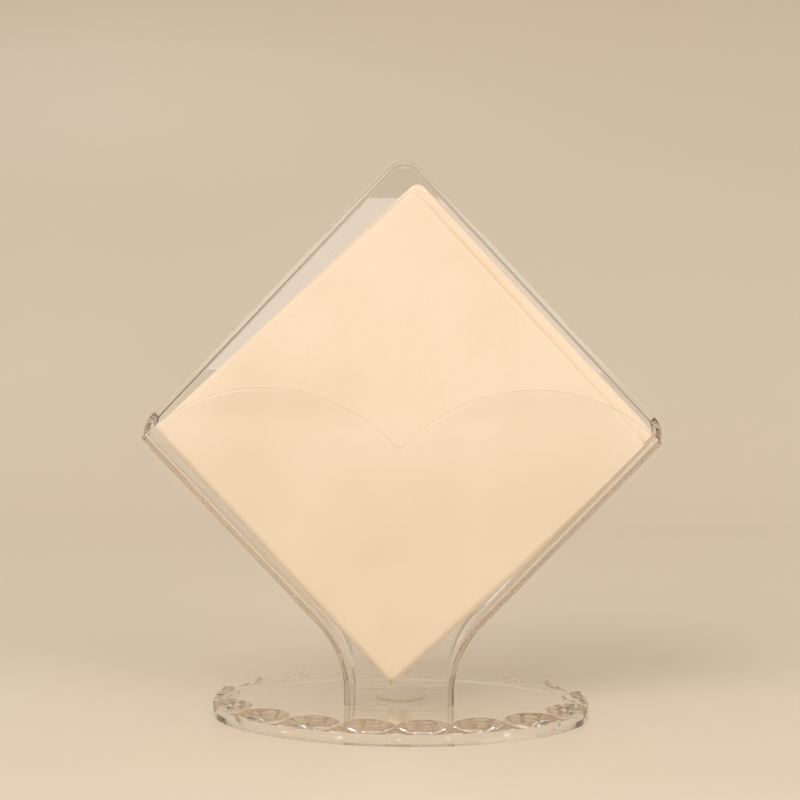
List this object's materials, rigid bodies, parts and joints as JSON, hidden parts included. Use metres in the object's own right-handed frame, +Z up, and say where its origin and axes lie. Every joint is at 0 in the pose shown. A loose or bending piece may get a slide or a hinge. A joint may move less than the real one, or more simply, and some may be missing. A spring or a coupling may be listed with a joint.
{
  "type": "napkin holder",
  "caption": "Clear moulded table napkin holder: a diamond pocket with a heart-shaped front on a short neck and a scalloped oval base, holding folded paper napkins on a corner.",
  "frame": {"origin": "middle of the base's underside, on the table", "axes": "+Z up, +Y from the heart-shaped front to the back panel, +X to the right seen from the front"},
  "size_m": [0.1902, 0.088, 0.2054],
  "materials": {
    "clear_plastic": "clear, moulded, high gloss",
    "napkin_paper": "soft matt tissue"
  },
  "bodies": {
    "holder": {"back_tray": "clear_plastic", "front_shell": "clear_plastic", "oval_base": "clear_plastic"},
    "napkin_01": {"napkin_01": "napkin_paper"},
    "napkin_02": {"napkin_02": "napkin_paper"},
    "napkin_03": {"napkin_03": "napkin_paper"},
    "napkin_04": {"napkin_04": "napkin_paper"},
    "napkin_05": {"napkin_05": "napkin_paper"},
    "napkin_06": {"napkin_06": "napkin_paper"},
    "napkin_07": {"napkin_07": "napkin_paper"},
    "napkin_08": {"napkin_08": "napkin_paper"},
    "napkin_09": {"napkin_09": "napkin_paper"},
    "napkin_10": {"napkin_10": "napkin_paper"},
    "napkin_11": {"napkin_11": "napkin_paper"},
    "napkin_12": {"napkin_12": "napkin_paper"}
  },
  "joints": [
    {"name": "napkin_01_lift", "type": "slide", "parent": "holder", "child": "napkin_01", "axis": [0, 0, 1], "range_m": [0, 0.2]},
    {"name": "napkin_02_lift", "type": "slide", "parent": "holder", "child": "napkin_02", "axis": [0, 0, 1], "range_m": [0, 0.2]},
    {"name": "napkin_03_lift", "type": "slide", "parent": "holder", "child": "napkin_03", "axis": [0, 0, 1], "range_m": [0, 0.2]},
    {"name": "napkin_04_lift", "type": "slide", "parent": "holder", "child": "napkin_04", "axis": [0, 0, 1], "range_m": [0, 0.2]},
    {"name": "napkin_05_lift", "type": "slide", "parent": "holder", "child": "napkin_05", "axis": [0, 0, 1], "range_m": [0, 0.2]},
    {"name": "napkin_06_lift", "type": "slide", "parent": "holder", "child": "napkin_06", "axis": [0, 0, 1], "range_m": [0, 0.2]},
    {"name": "napkin_07_lift", "type": "slide", "parent": "holder", "child": "napkin_07", "axis": [0, 0, 1], "range_m": [0, 0.2]},
    {"name": "napkin_08_lift", "type": "slide", "parent": "holder", "child": "napkin_08", "axis": [0, 0, 1], "range_m": [0, 0.2]},
    {"name": "napkin_09_lift", "type": "slide", "parent": "holder", "child": "napkin_09", "axis": [0, 0, 1], "range_m": [0, 0.2]},
    {"name": "napkin_10_lift", "type": "slide", "parent": "holder", "child": "napkin_10", "axis": [0, 0, 1], "range_m": [0, 0.2]},
    {"name": "napkin_11_lift", "type": "slide", "parent": "holder", "child": "napkin_11", "axis": [0, 0, 1], "range_m": [0, 0.2]},
    {"name": "napkin_12_lift", "type": "slide", "parent": "holder", "child": "napkin_12", "axis": [0, 0, 1], "range_m": [0, 0.2]}
  ]
}
